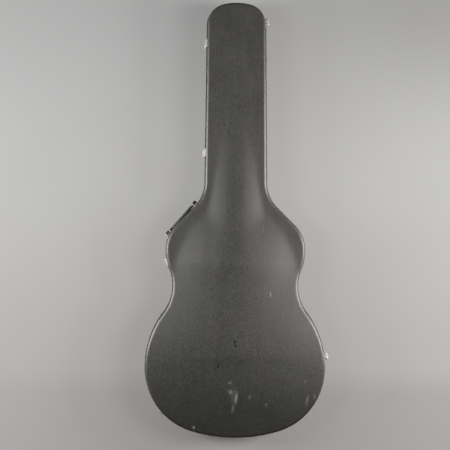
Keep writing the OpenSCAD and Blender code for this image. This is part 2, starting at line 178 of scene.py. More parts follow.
def sweep(profile, closed=False):
    """Vertices and faces of a profile, a list of (offset, z), carried round the outline."""
    n, m = len(LOOP), len(profile)
    verts = np.concatenate([np.column_stack([LOOP + d * NORMAL, np.full(n, z)]) for d, z in profile])
    faces = []
    for j in range(m if closed else m - 1):
        k = (j + 1) % m
        for i in range(n):
            faces.append((j * n + i, j * n + (i + 1) % n, k * n + (i + 1) % n, k * n + i))
    return verts, faces


def fill(offset, height, columns):
    """Vertices and faces that close the outline at an offset: rows run to the centre line."""
    edge = LOOP + offset * NORMAL
    n = len(edge)
    rings = []
    for c in range(columns + 1):
        x = edge[:, 0] * (1 - c / columns)
        rings.append(np.column_stack([x, edge[:, 1], height(x, edge[:, 1])]))
    faces = []
    for c in range(columns):
        for i in range(n):
            faces.append((c * n + i, c * n + (i + 1) % n, (c + 1) * n + (i + 1) % n, (c + 1) * n + i))
    return np.concatenate(rings), faces


def joined(*parts):
    verts, faces, base = [], [], 0
    for v, f in parts:
        verts.append(np.asarray(v))
        faces += [tuple(i + base for i in face) for face in f]
        base += len(v)
    return np.concatenate(verts), faces


def quarter(cx, cz, radius, start, end, steps):
    """Points of an arc in a profile, from one angle to another in degrees."""
    angles = np.radians(np.linspace(start, end, steps + 1))
    return [(cx + radius * math.cos(a), cz + radius * math.sin(a)) for a in angles]


def place(obj, body, slot, *replaced):
    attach(obj, body)
    if replaced:
        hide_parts(*replaced)
    return obj


def paint(obj, material):
    obj.data.materials.clear()
    obj.data.materials.append(material)
    return obj


# ---------------------------------------------------------------- shader helpers


class Shader:
    """A material whose nodes are added by short calls. Lengths in object space are in metres."""

    def __init__(self, name):
        self.material = bpy.data.materials.new(name)
        self.material.use_nodes = True
        self.tree = self.material.node_tree
        self.tree.nodes.clear()
        self.place = self.add("TexCoord").outputs["Object"]

    def add(self, kind, inputs=(), **settings):
        node = self.tree.nodes.new("ShaderNode" + kind)
        for key, value in settings.items():
            setattr(node, key, value)
        for key, value in dict(inputs).items():
            if isinstance(value, bpy.types.NodeSocket):
                self.tree.links.new(value, node.inputs[key])
            else:
                node.inputs[key].default_value = value
        return node

    def math(self, operation, a, b=0.0, c=0.0, clamp=False):
        node = self.add("Math", {0: a, 1: b, 2: c}, operation=operation, use_clamp=clamp)
        return node.outputs[0]

    def scaled(self, scale, offset=(0, 0, 0), turn=0.0, source=None):
        return self.add("Mapping", {"Vector": source or self.place, "Location": offset,
                                    "Rotation": (0, 0, turn), "Scale": scale}).outputs[0]

    def noise(self, scale, detail=3.0, rough=0.5, where=None, distort=0.0):
        return self.add("TexNoise", {"Vector": where or self.place, "Scale": scale, "Detail": detail,
                                     "Roughness": rough, "Distortion": distort}).outputs["Fac"]

    def cells(self, scale, feature="F1", where=None, randomness=1.0):
        node = self.add("TexVoronoi", {"Vector": where or self.place, "Scale": scale,
                                       "Randomness": randomness}, feature=feature)
        return node.outputs["Distance"]

    def remap(self, value, low, high, to_low=0.0, to_high=1.0, smooth=True):
        node = self.add("MapRange", {"Value": value, "From Min": low, "From Max": high,
                                     "To Min": to_low, "To Max": to_high})
        node.interpolation_type = "SMOOTHSTEP" if smooth else "LINEAR"
        return node.outputs[0]

    def mix(self, factor, a, b):
        node = self.add("Mix", data_type="RGBA")
        for key, value in ((0, factor), (6, a), (7, b)):
            if isinstance(value, bpy.types.NodeSocket):
                self.tree.links.new(value, node.inputs[key])
            else:
                node.inputs[key].default_value = value if key == 0 else (*value, 1.0)
        return node.outputs[2]

    def bump(self, height, distance, strength=1.0, normal=None):
        inputs = {"Height": height, "Distance": distance, "Strength": strength}
        if normal is not None:
            inputs["Normal"] = normal
        return self.add("Bump", inputs).outputs[0]

    def surface(self, **inputs):
        named = {key.replace("_", " "): value for key, value in inputs.items()}
        for key in ("Base Color", "Sheen Tint"):
            if key in named and not isinstance(named[key], bpy.types.NodeSocket):
                named[key] = (*named[key], 1.0)
        shader = self.add("BsdfPrincipled", named)
        out = self.add("OutputMaterial")
        self.tree.links.new(shader.outputs[0], out.inputs["Surface"])
        return self.material


# ---------------------------------------------------------------- materials

# Marks on the lid: middle x, middle distance from the tail, half length, half width, turn in degrees
# from the long direction, strength. Pale ones are scuffs, dark ones nicks through the cover.
SCUFFS = [
    (0.0033, 0.1058, 0.023, 0.0058, 8, 0.48),
    (-0.0105, 0.1209, 0.010, 0.0090, -10, 0.34),
    (-0.0130, 0.1448, 0.006, 0.0055, 0, 0.30),
    (-0.0054, 0.0780, 0.016, 0.0045, 10, 0.26),
    (-0.0030, 0.1130, 0.034, 0.0130, 6, 0.10),
    (0.0374, 0.1083, 0.008, 0.0060, 0, 0.20),
    (0.0795, 0.0882, 0.007, 0.0050, 20, 0.20),
    (-0.1035, 0.0291, 0.006, 0.0050, 0, 0.55),
    (0.0889, 0.3667, 0.012, 0.0024, 3, 0.55),
    (0.1833, 0.0989, 0.019, 0.0050, 12, 0.22),
    (0.2024, 0.1088, 0.009, 0.0035, 12, 0.25),
    (0.1770, 0.1469, 0.007, 0.0035, 12, 0.18),
    (0.0700, 0.5290, 0.012, 0.0015, -8, 0.25),
    (-0.0600, 0.3300, 0.030, 0.0010, 4, 0.15),
    (0.0300, 0.2500, 0.034, 0.0010, -3, 0.15),
]
NICKS = [
    (-0.0008, 0.2470, 0.0052, 0.0050, 15, 1.0),
    (0.0006, 0.2372, 0.0058, 0.0046, -10, 1.0),
    (-0.0425, 0.1861, 0.0105, 0.0042, 8, 1.0),
]


def marks(shader, table, ragged, edge):
    """One mask for a table of marks, with a torn outline."""
    wobble = shader.add("TexNoise", {"Vector": shader.place, "Scale": 420.0, "Detail": 4.0})
    shift = shader.add("VectorMath", {0: wobble.outputs["Color"], 1: (0.5, 0.5, 0.5)}, operation="SUBTRACT")
    moved = shader.add("VectorMath", {0: shift.outputs[0], "Scale": ragged}, operation="SCALE")
    torn = shader.add("VectorMath", {0: shader.place, 1: moved.outputs[0]}, operation="ADD").outputs[0]
    total = None
    for x, run, half_long, half_wide, turn, strength in table:
        centred = shader.add("VectorMath", {0: torn, 1: (x, TAIL_Y + run, 0)},
                             operation="SUBTRACT").outputs[0]
        turned = shader.add("VectorRotate", {"Vector": centred, "Angle": math.radians(turn)},
                            rotation_type="Z_AXIS").outputs[0]
        flat = shader.add("VectorMath", {0: turned, 1: (1 / half_wide, 1 / half_long, 0)},
                          operation="MULTIPLY").outputs[0]
        reach = shader.add("VectorMath", {0: flat}, operation="LENGTH").outputs["Value"]
        mask = shader.remap(reach, 1.0, 1.0 - edge, 0.0, strength)
        total = mask if total is None else shader.math("MAXIMUM", total, mask)
    return total


def vinyl_material(name, marked=False):
    """Black leather-grained vinyl: pebbled, faintly streaked lengthwise, rubbed duller in places, with painted
    shade darkening it towards the tail and a paler shoulder that is partly edge wear and partly a painted
    highlight.
    """
    s = Shader(name)
    pebble = s.remap(s.cells(620, "SMOOTH_F1"), 0.1, 0.75)
    fine = s.noise(2600, 3, 0.6)
    streak = s.noise(1.0, 4, 0.6, where=s.scaled((150, 6, 150)))
    bands = s.noise(1.0, 2, 0.5, where=s.scaled((26, 1.6, 26), offset=(3, 1, 0)))
    cross = s.noise(1.0, 4, 0.6, where=s.scaled((22, 190, 190), offset=(0, 5, 2)))
    rubbed = s.remap(s.noise(9.0, 6, 0.68), 0.36, 0.70)
    mottle = s.noise(95, 5, 0.72)
    grain = s.noise(330, 3, 0.65)
    tone = s.mix(rubbed, (0.0140, 0.0140, 0.0125), (0.0190, 0.0188, 0.0170))
    tone = s.mix(s.remap(grain, 0.38, 0.68, 0, 0.50), tone, (0.056, 0.055, 0.051))
    tone = s.mix(s.remap(mottle, 0.42, 0.72, 0, 0.22), tone, (0.050, 0.049, 0.045))
    tone = s.mix(s.remap(streak, 0.5, 0.8, 0, 0.3), tone, (0.055, 0.054, 0.050))
    # Painted shade: the tone darkens towards the tail, where less light reaches; the same mask also roughens the
    # tail and fades out the shoulder's painted highlight there.
    tail = s.remap(s.add("SeparateXYZ", {0: s.place}).outputs["Y"], TAIL_Y + 0.24, TAIL_Y + 0.04)
    tone = s.mix(s.math("MULTIPLY", tail, 0.65), tone, (0.006, 0.006, 0.005))
    specks = s.math("MULTIPLY", s.remap(s.cells(70), 0.05, 0.025), s.remap(s.noise(31, 2), 0.55, 0.62))
    tone = s.mix(s.math("MULTIPLY", specks, 0.35), tone, (0.30, 0.29, 0.27))
    rough = s.math("ADD", s.remap(rubbed, 0, 1, 0.43, 0.47, False),
                   s.remap(mottle, 0.3, 0.8, -0.02, 0.03, False))
    rough = s.math("ADD", rough, s.remap(grain, 0.3, 0.7, -0.06, 0.06, False))
    rough = s.math("ADD", rough, s.math("MULTIPLY", tail, 0.05))
    # The shoulder, picked out by the surface's lean, is rubbed glossier and painted paler. The paler tone is
    # partly edge wear and partly a painted highlight, faded out where the tail's painted shade lies.
    lean = s.add("SeparateXYZ", {0: s.add("NewGeometry").outputs["Normal"]}).outputs["Z"]
    edge = s.math("MULTIPLY", s.remap(lean, 0.97, 0.80), s.remap(lean, 0.02, 0.25))
    edge = s.math("MULTIPLY", edge, s.remap(tail, 0.55, 1.0, 1.0, 0.0))
    rough = s.math("SUBTRACT", rough, s.math("MULTIPLY", edge, 0.17))
    tone = s.mix(s.math("MULTIPLY", edge, 0.30), tone, (0.12, 0.118, 0.11))
    height = s.math("ADD", s.math("MULTIPLY", pebble, 0.5), s.math("MULTIPLY", fine, 0.25))
    normal = s.bump(height, 0.00022, 0.55)
    normal = s.bump(grain, 0.0006, 0.18, normal)
    normal = s.bump(streak, 0.0010, 0.12, normal)
    normal = s.bump(cross, 0.0006, 0.20, normal)
    normal = s.bump(bands, 0.0050, 0.06, normal)
    if marked:
        worn = s.math("MULTIPLY", marks(s, SCUFFS, 0.010, 0.85), s.remap(s.noise(700, 4, 0.7), 0.36, 0.62))
        tone = s.mix(worn, tone, (0.43, 0.42, 0.40))
        rough = s.math("ADD", rough, s.math("MULTIPLY", worn, 0.25))
        torn = marks(s, NICKS, 0.003, 0.35)
        tone = s.mix(torn, tone, (0.002, 0.002, 0.002))
        rough = s.math("ADD", rough, s.math("MULTIPLY", torn, 0.5))
        normal = s.bump(torn, -0.0008, 0.5, normal)
    return s.surface(Base_Color=tone, Roughness=rough, Normal=normal, Specular_IOR_Level=0.75)


def binding_material():
    """Moulded black edging, glossier than the cover and dusty in patches, with painted shade darkening it towards
    the tail.
    """
    s = Shader("binding")
    dust = s.remap(s.noise(60, 5, 0.7), 0.5, 0.8)
    tone = s.mix(dust, (0.014, 0.014, 0.013), (0.045, 0.044, 0.040))
    # Painted shade: darker and rougher towards the tail, where less light reaches.
    tail = s.remap(s.add("SeparateXYZ", {0: s.place}).outputs["Y"], TAIL_Y + 0.10, TAIL_Y + 0.03)
    tone = s.mix(tail, tone, (0.004, 0.004, 0.004))
    rough = s.remap(s.noise(300, 4, 0.6), 0.3, 0.7, 0.34, 0.52, False)
    rough = s.math("ADD", rough, s.math("MULTIPLY", tail, 0.3))
    normal = s.bump(s.noise(1500, 3), 0.0002, 0.3)
    return s.surface(Base_Color=tone, Roughness=rough, Normal=normal)


def nickel_material():
    """Dulled nickel plate: fine rubbing, small pits and a slightly warm tarnish."""
    s = Shader("nickel")
    tarnish = s.remap(s.noise(160, 5, 0.6), 0.45, 0.72)
    tone = s.mix(tarnish, (0.83, 0.81, 0.77), (0.66, 0.62, 0.55))
    rubbed = s.noise(1.0, 4, 0.6, where=s.scaled((900, 900, 5200)))
    pits = s.remap(s.cells(1400), 0.0, 0.16, 1.0, 0.0)
    rough = s.math("ADD", s.remap(rubbed, 0.3, 0.75, 0.30, 0.46, False), s.math("MULTIPLY", tarnish, 0.10))
    normal = s.bump(s.math("SUBTRACT", rubbed, s.math("MULTIPLY", pits, 0.8)), 0.00006, 0.5)
    return s.surface(Base_Color=tone, Metallic=1.0, Roughness=rough, Normal=normal)


def plush_material():
    """Short crimson plush: a brushed nap that lies in patches, with a soft sheen."""
    s = Shader("plush")
    nap = s.remap(s.noise(26, 5, 0.62, distort=0.6), 0.36, 0.66)
    pile = s.noise(3600, 2, 0.7)
    tone = s.mix(nap, (0.155, 0.010, 0.020), (0.300, 0.026, 0.042))
    tone = s.mix(s.remap(pile, 0.3, 0.7), s.mix(0.55, tone, (0.02, 0.0, 0.002)), tone)
    normal = s.bump(pile, 0.0009, 0.8)
    normal = s.bump(s.noise(55, 4, 0.6), 0.002, 0.35, normal)
    return s.surface(Base_Color=tone, Roughness=0.92, Normal=normal, Sheen_Weight=0.8,
                     Sheen_Roughness=0.45, Sheen_Tint=(0.95, 0.35, 0.38), Specular_IOR_Level=0.15)


def plywood_material():
    """Bent plywood: pale layers with long grain, darkened by glue at the edges."""
    s = Shader("plywood")
    layers = s.math("SINE", s.math("MULTIPLY", s.add("SeparateXYZ", {0: s.place}).outputs["Z"], 2500.0))
    grain = s.noise(1.0, 5, 0.6, where=s.scaled((60, 9, 420)))
    tone = s.mix(s.remap(grain, 0.35, 0.68), (0.50, 0.34, 0.19), (0.63, 0.47, 0.29))
    tone = s.mix(s.remap(layers, 0.2, 0.9, 0.0, 0.35), tone, (0.30, 0.18, 0.09))
    return s.surface(Base_Color=tone, Roughness=0.7, Normal=s.bump(grain, 0.0004, 0.4))


def grip_material(name, dark, pale):
    """Smooth black moulded handle, polished by hands, with fine scratches."""
    s = Shader(name)
    scratch = s.noise(1.0, 5, 0.7, where=s.scaled((500, 500, 60), turn=0.7))
    tone = s.mix(s.remap(scratch, 0.40, 0.8), (dark, dark, dark * 0.96), (pale, pale * 0.98, pale * 0.93))
    rough = s.remap(scratch, 0.3, 0.8, 0.26, 0.50, False)
    return s.surface(Base_Color=tone, Roughness=rough, Normal=s.bump(s.noise(900, 3), 0.0001, 0.3),
                     Coat_Weight=0.35, Coat_Roughness=0.12)


VINYL_LID = vinyl_material("vinyl_lid", marked=True)
VINYL = vinyl_material("vinyl")
BINDING = binding_material()
NICKEL = nickel_material()
PLUSH = plush_material()
PLYWOOD = plywood_material()
GRIP = grip_material("grip", 0.050, 0.110)
GRIP_LEG = grip_material("grip_leg", 0.010, 0.030)
SLOT_MATERIAL = {"vinyl": VINYL, "binding": BINDING, "nickel": NICKEL, "plush": PLUSH,
                 "plywood": PLYWOOD, "grip": GRIP}

for row in frame["record"]["subparts"]:
    paint(NODES[row["node"]], SLOT_MATERIAL[row["material_slot"]])

# ---------------------------------------------------------------- lid and body skins

SHOULDER = 7 * MM
BACK_EDGE = 3 * MM
RIM = 5 * MM          # cover and plywood together
PLUSH_T = 3 * MM
SEAM_SKIN = 0.12 * MM


def border(x, y):
    return BORDER_Z + arch(x, y)


def lid_skin():
    """Vinyl over the lid: up the side, round the shoulder and across the arched top."""
    n = len(LOOP)
    rings = []
    for d, rise in [(-RIM, -SEAM_SKIN), (0.0, -SEAM_SKIN), (0.0, 0.010), (0.0, 0.017), (0.0, 0.022)]:
        rings.append((d, SEAM_LID + rise, 0.0))
    for a in range(0, 91, 10):
        turn = math.radians(a)
        rings.append((SHOULDER * (math.cos(turn) - 1), BORDER_Z + SHOULDER * (math.sin(turn) - 1), 1.0))
    verts = []
    for d, z, follow in rings:
        at = LOOP + d * NORMAL
        lift = arch(at[:, 0], at[:, 1]) * follow
        verts.append(np.column_stack([at, z + lift]))
    faces = []
    for j in range(len(rings) - 1):
        for i in range(n):
            k = (i + 1) % n
            faces.append((j * n + i, j * n + k, (j + 1) * n + k, (j + 1) * n + i))
    skin = new_object("lid_skin", *joined((np.concatenate(verts), faces), fill(-SHOULDER, border, 56)))
    return paint(place(skin, "lid", "vinyl", "lid_cover", "lid_side_cover", "lid_panel"), VINYL_LID)


def body_skin():
    """Vinyl over the body: down the side, round the back edge and across the back."""
    z0 = BACK[0].z
    profile = [(-RIM, SEAM_BODY + SEAM_SKIN), (0.0, SEAM_BODY + SEAM_SKIN), (0.0, 0.060), (0.0, 0.030)]
    profile += quarter(-BACK_EDGE, z0 + BACK_EDGE, BACK_EDGE, 0, -90, 6)
    flat = fill(-BACK_EDGE, lambda x, y: np.full_like(x, z0), 24)
    skin = new_object("body_skin", *joined(sweep(profile), flat))
    return paint(place(skin, "case_body", "vinyl", "body_side_cover", "back_cover"), VINYL)


def edge_binding(name, body, z_flat, up, *replaced):
    """A moulded bead round the seam edge, flat on the seam side and round outside."""
    half, corner = BEAD_H / 2, 0.9 * MM
    profile = [(-0.3 * MM, -half)]
    profile += quarter(BEAD_OUT - corner, corner - half, corner, -90, 0, 4)
    profile += quarter(BEAD_OUT - corner, half - corner, corner, 0, 90, 4)
    profile += [(-0.3 * MM, half)]
    middle = z_flat + up * half
    ring = new_object(name, *sweep([(d, middle + z) for d, z in profile], closed=True))
    return paint(place(ring, body, "binding", *replaced), BINDING)


lid_skin()
body_skin()
edge_binding("lid_binding_bead", "lid", SEAM_LID, 1, "lid_binding")
edge_binding("body_binding_bead", "case_body", SEAM_BODY, -1, "body_binding")

# ---------------------------------------------------------------- metal fittings and handle

PIVOT_OUT = 5.2 * MM       # latch lever's pivot, out from the wall
HANDLE_OUT = 9.4 * MM      # handle's swing axis, out from the wall
LEVER_HALF = 7.3 * MM      # half the lever's width
LEVER_BACK = 1.9 * MM      # the lever's inner edge, out from the wall
BARREL = 3.0 * MM
BAIL_OUT = 3.985 * MM
BAIL_END_Z = 67.1 * MM
BAIL_TOP_Z = 96.0 * MM
BAIL_HALF = 10.5 * MM
WIRE = 1.1 * MM
HANDLE_HALF = 52 * MM      # half the distance between the handle's legs
GRIP_Z = 24 * MM
LATCHES = ("head", "neck", "upper", "tail")
HINGES = ("lower", "head")


def wall_frame(joint, reach):
    """From a fitting's own frame (X out of the wall, Y along it, Z up) to the object's."""
    place_at, axis = JOINTS[joint]["pos_m"], JOINTS[joint]["axis"]
    side = -1 if place_at[0] < 0 else 1
    out = Vector((side * axis[1], -side * axis[0], 0))
    start = Vector((place_at[0], place_at[1], 0)) - reach * out
    return Matrix(((out.x, axis[0], 0, start.x), (out.y, axis[1], 0, start.y),
                   (0, 0, 1, 0), (0, 0, 0, 1)))


def rounded(corners, radius, steps=6):
    """A path through the corners, with each inner corner rounded."""
    corners = [Vector(c) for c in corners]
    path = [corners[0]]
    for before, corner, after in zip(corners, corners[1:], corners[2:]):
        a, b = (before - corner).normalized(), (after - corner).normalized()
        cut = radius / math.tan(a.angle(b) / 2)
        middle = corner + (a + b).normalized() * (radius / math.sin(a.angle(b) / 2))
        start = (corner + a * cut - middle).normalized()
        end = (corner + b * cut - middle).normalized()
        path += [middle + radius * start.slerp(end, k / steps) for k in range(steps + 1)]
    return path + [corners[-1]]


def tube(path, radius, sides=14, shape=None):
    """Vertices and faces of a rod along a path, with domed ends. shape(i) gives two scales across."""
    path = [Vector(p) for p in path]
    n = len(path)
    tangents = [(path[min(i + 1, n - 1)] - path[max(i - 1, 0)]).normalized() for i in range(n)]
    first = tangents[0].orthogonal().normalized()
    if shape:
        first = Vector((1, 0, 0))
    rings = []
    for a in (80, 55, 30):
        rings.append((path[0] - tangents[0] * radius * math.sin(math.radians(a)), 0,
                      math.cos(math.radians(a))))
    rings += [(path[i], i, 1.0) for i in range(n)]
    for a in (30, 55, 80):
        rings.append((path[-1] + tangents[-1] * radius * math.sin(math.radians(a)), n - 1,
                      math.cos(math.radians(a))))
    across = first
    verts, faces = [], []
    for centre, i, shrink in rings:
        across = (across - tangents[i] * across.dot(tangents[i])).normalized()
        other = tangents[i].cross(across)
        wide, deep = shape(i) if shape else (1.0, 1.0)
        for k in range(sides):
            a = 2 * math.pi * k / sides
            verts.append(centre + radius * shrink * (wide * math.cos(a) * across
                                                     + deep * math.sin(a) * other))
    count = len(rings)
    for r in range(count - 1):
        for k in range(sides):
            m = (k + 1) % sides
            faces.append((r * sides + k, r * sides + m, (r + 1) * sides + m, (r + 1) * sides + k))
    faces += [tuple(range(sides)), tuple((count - 1) * sides + k for k in range(sides))]
    return np.array([tuple(v) for v in verts]), faces


def moved(part, matrix):
    verts, faces = part
    return np.array([tuple(matrix @ Vector(v)) for v in verts]), faces


def finished(piece, bevel=0.0, segments=2, angle=30):
    """Rounds a piece's edges and gives it smooth, weighted normals."""
    if bevel:
        cut = piece.modifiers.new("edges", "BEVEL")
        cut.width, cut.segments, cut.limit_method = bevel, segments, "ANGLE"
        cut.angle_limit = math.radians(angle)
        cut.harden_normals = False
    weighted = piece.modifiers.new("normals", "WEIGHTED_NORMAL")
    weighted.keep_sharp = False
    for polygon in piece.data.polygons:
        polygon.use_smooth = True
    return apply_modifiers(piece)


def polished(node, body, slot, material, bevel=0.22 * MM):
    """A copy of a fitting's CAD mesh with its edges rounded, standing for the node."""
    mesh = bpy.data.meshes.new(node + "_piece")
    copy = bmesh.new()
    copy.from_mesh(NODES[node].data)
    bmesh.ops.remove_doubles(copy, verts=copy.verts, dist=2e-6)
    bmesh.ops.dissolve_limit(copy, angle_limit=math.radians(2), verts=copy.verts, edges=copy.edges)
    bmesh.ops.recalc_face_normals(copy, faces=copy.faces)
    copy.to_mesh(mesh)
    copy.free()
    for name in ("custom_normal", "sharp_edge", "sharp_face"):
        if name in mesh.attributes:
            mesh.attributes.remove(mesh.attributes[name])
    piece = bpy.data.objects.new(node + "_piece", mesh)
    bpy.context.scene.collection.objects.link(piece)
    finished(piece, bevel)
    return paint(place(piece, body, slot, node), material)


def lever_stations():
    """Outer profile of a lever: (x, z, inward x, inward z, depth of the side walls)."""
    pivot_z = JOINTS["latch_head_open"]["pos_m"][2]
    rows = []
    for a in range(165, -16, -15):
        c, s = math.cos(math.radians(a)), math.sin(math.radians(a))
        rows.append((PIVOT_OUT + BARREL * c, pivot_z + BARREL * s, -c, -s, 1.9 * MM))
    for drop in np.linspace(4.2, 25.2, 15) * MM:
        bulge = 9.3 * MM - (drop - 13.5 * MM) ** 2 / (60 * MM)
        rows.append((bulge, pivot_z - drop, -1.0, 0.0, bulge - LEVER_BACK))
    for x, drop, depth in ((7.25, 26.4, 4.6), (7.8, 27.3, 3.4), (8.7, 28.0, 2.6), (9.2, 28.3, 2.2)):
        rows.append((x * MM, pivot_z - drop * MM, -0.8, 0.6, depth * MM))
    return rows


def latch_lever(name):
    joint = "latch_%s_open" % name
    to_wall = wall_frame(joint, PIVOT_OUT)
    inner = [0.93, 0.8, 0.62, 0.55, 0.4, 0.2, 0.0]
    ys = [1.0, 1.0, 0.985, 0.95, 0.88] + [v * 0.92 for v in inner]
    drops = [1.0, 0.35, 0.12, 0.035, 0.0] + [0.0] * len(inner)
    side = list(zip(ys, drops))
    across = [(-y, d) for y, d in side] + [(y, d) for y, d in reversed(side[:-1])]
    stations = lever_stations()
    pivot_z = JOINTS[joint]["pos_m"][2]
    verts, faces = [], []
    for x, z, in_x, in_z, depth in stations:
        for y, drop in across:
            sink = drop * depth
            crown = 0.45 * MM * y * y
            below = pivot_z - z
            panel = min(max((below - 6.5 * MM) / MM, 0), 1) * min(max((22.5 * MM - below) / MM, 0), 1)
            panel *= min(max((0.62 - abs(y)) / 0.07, 0), 1)
            sink += crown * (1 if below > 3 * MM else 0) + 0.45 * MM * panel
            verts.append(to_wall @ Vector((x + in_x * sink, y * LEVER_HALF, z + in_z * sink)))
    m = len(across)
    for r in range(len(stations) - 1):
        for k in range(m - 1):
            faces.append((r * m + k, r * m + k + 1, (r + 1) * m + k + 1, (r + 1) * m + k))
    piece = new_object("latch_%s_lever_shell" % name, verts, faces)
    middle = to_wall @ Vector((PIVOT_OUT, 0, pivot_z - 12 * MM))
    outwards = to_wall.to_3x3() @ Vector((1, 0, 0))
    facing = [p for p in piece.data.polygons if (p.center - middle).dot(outwards) > 2 * MM]
    if sum(p.normal.dot(outwards) for p in facing) < 0:
        piece.data.flip_normals()
    shell = piece.modifiers.new("shell", "SOLIDIFY")
    shell.thickness, shell.offset = 1.0 * MM, -1
    apply_modifiers(piece)
    finished(piece, 0.15 * MM)
    return paint(place(piece, "latch_%s_lever" % name, "nickel", "latch_%s_lever" % name), NICKEL)


def latch_bail(name):
    to_wall = wall_frame("latch_%s_open" % name, PIVOT_OUT)
    ends = [(BAIL_OUT, 5.8 * MM, BAIL_END_Z), (BAIL_OUT, BAIL_HALF, BAIL_END_Z),
            (BAIL_OUT, BAIL_HALF, BAIL_TOP_Z)]
    corners = ends + [(x, -y, z) for x, y, z in reversed(ends)]
    wire = tube(rounded(corners, 1.9 * MM), WIRE)
    piece = new_object("latch_%s_bail_wire" % name, *moved(wire, to_wall))
    return paint(place(piece, "latch_%s_bail" % name, "nickel", "latch_%s_bail" % name), NICKEL)


for latch in LATCHES:
    latch_lever(latch)
    latch_bail(latch)
    polished("latch_%s_plate" % latch, "case_body", "nickel", NICKEL, 0.3 * MM)
    polished("latch_%s_catch" % latch, "lid", "nickel", NICKEL, 0.3 * MM)
for hinge in HINGES:
    polished("hinge_%s_body_leaf" % hinge, "case_body", "nickel", NICKEL)
    polished("hinge_%s_lid_leaf" % hinge, "lid", "nickel", NICKEL)
for bracket in ("upper", "lower"):
    polished("handle_bracket_" + bracket, "case_body", "nickel", NICKEL, 0.3 * MM)


def eye(y, z):
    """The rounded boss at one end of the handle: a turned shape about the pin."""
    half, radius, corner = 5.5 * MM, 4.6 * MM, 1.2 * MM
    profile = [(0.0, -half), (radius - corner, -half)]
    profile += quarter(radius - corner, corner - half, corner, -90, 0, 4)
    profile += quarter(radius - corner, half - corner, corner, 0, 90, 4) + [(0.0, half)]
    sides, verts, faces = 28, [], []
    for r, along in profile:
        for k in range(sides):
            a = 2 * math.pi * k / sides
            verts.append((HANDLE_OUT + r * math.cos(a), y + along, z + r * math.sin(a)))
    for j in range(len(profile) - 1):
        for k in range(sides):
            m = (k + 1) % sides
            faces.append((j * sides + k, j * sides + m, (j + 1) * sides + m, (j + 1) * sides + k))
    return np.array(verts), faces


def handle():
    to_wall = wall_frame("handle_swing", HANDLE_OUT)
    axis_z = JOINTS["handle_swing"]["pos_m"][2]
    corners = [(HANDLE_OUT, y, z) for y, z in ((HANDLE_HALF, axis_z - 2 * MM), (HANDLE_HALF, GRIP_Z),
                                               (-HANDLE_HALF, GRIP_Z), (-HANDLE_HALF, axis_z - 2 * MM))]
    legs = tube(rounded(corners, 14 * MM, 12), 3.5 * MM, 20)
    core = joined(legs, eye(HANDLE_HALF, axis_z), eye(-HANDLE_HALF, axis_z))
    piece = new_object("handle_core_moulding", *moved(core, to_wall))
    paint(place(piece, "handle", "grip", "handle_core"), GRIP_LEG)

    half, steps = 35 * MM, 56
    rows = []
    for i in range(steps + 1):
        t = -1 + 2 * i / steps
        end = min(1.0, (1 - abs(t)) / 0.14)
        round_end = math.sqrt(max(0.0, 1 - (1 - end) ** 2))
        waves = 0.35 * MM * math.cos(4 * math.pi * t) * round_end
        rows.append((t * half, (0.80 + 0.20 * round_end), round_end, waves))
    sides, verts, faces = 36, [], []
    for y, wide, tall, waves in rows:
        for k in range(sides):
            a = 2 * math.pi * k / sides
            c, s = math.cos(a), math.sin(a)
            x = 4.2 * MM * wide * math.copysign(abs(c) ** 0.75, c)
            z = (3.7 * MM + 4.8 * MM * tall + (waves if s < 0 else 0)) * math.copysign(abs(s) ** 0.8, s)
            verts.append((HANDLE_OUT + x, y, GRIP_Z + z))
    for j in range(steps):
        for k in range(sides):
            m = (k + 1) % sides
            faces.append((j * sides + k, j * sides + m, (j + 1) * sides + m, (j + 1) * sides + k))
    faces += [tuple(range(sides)), tuple(steps * sides + k for k in range(sides))]
    piece = new_object("handle_grip_moulding", *moved((np.array(verts), faces), to_wall))
    paint(place(piece, "handle", "grip", "handle_grip"), GRIP)


def bracket_rivets():
    """Four domed rivets in the corners of each handle bracket, on the plate's outer face."""
    to_wall = wall_frame("handle_swing", HANDLE_OUT)
    axis_z = JOINTS["handle_swing"]["pos_m"][2]
    radius, sides, reach = 1.9 * MM, 14, 4.5 * MM
    in_y, in_z = 10.2 * MM, 11.8 * MM
    for side, bracket in ((-1, "lower"), (1, "upper")):
        parts = []
        corners = [v.co for v in NODES["handle_bracket_" + bracket].data.vertices]
        for dy in (-in_y, in_y):
            for dz in (-in_z, in_z):
                y = side * HANDLE_HALF + dy
                local = [to_wall.inverted() @ v for v in corners]
                near = [v for v in local if v.x < reach and abs(v.y - y) < reach]
                face = max(v.x for v in near)
                verts = []
                for a in (0, 25, 50, 75):
                    ring, rise = radius * math.cos(math.radians(a)), 0.9 * MM * math.sin(math.radians(a))
                    for k in range(sides):
                        t = 2 * math.pi * k / sides
                        verts.append((face + rise, y + ring * math.cos(t), axis_z + dz + ring * math.sin(t)))
                faces = [(j * sides + k, j * sides + (k + 1) % sides, (j + 1) * sides + (k + 1) % sides,
                          (j + 1) * sides + k) for j in range(3) for k in range(sides)]
                faces.append(tuple(3 * sides + k for k in range(sides)))
                parts.append((np.array(verts), faces))
        piece = new_object("handle_bracket_%s_rivets" % bracket, *moved(joined(*parts), to_wall))
        paint(place(piece, "case_body", "nickel"), NICKEL)


handle()
bracket_rivets()

# ---------------------------------------------------------------- lining, pad, pocket and neck rest

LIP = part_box("dust_lip")
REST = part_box("neck_rest")
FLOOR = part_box("bottom_pad")[0].z
LINING_IN = -RIM - PLUSH_T
LID_LINING_IN = -7.5 * MM
LID_LINING_DROP = 8 * MM   # its face, below the top of the lid
FILLET = 2 * MM


def unevenness(x, y, z, size, amount):
    """How far glued cloth stands back at each point, from 0 to amount: smooth, and the same every run."""
    values = [noise.noise(Vector((a, b, c)) / size) for a, b, c in zip(x, y, z)]
    return amount * np.clip(0.5 + 0.8 * np.array(values), 0, 1)


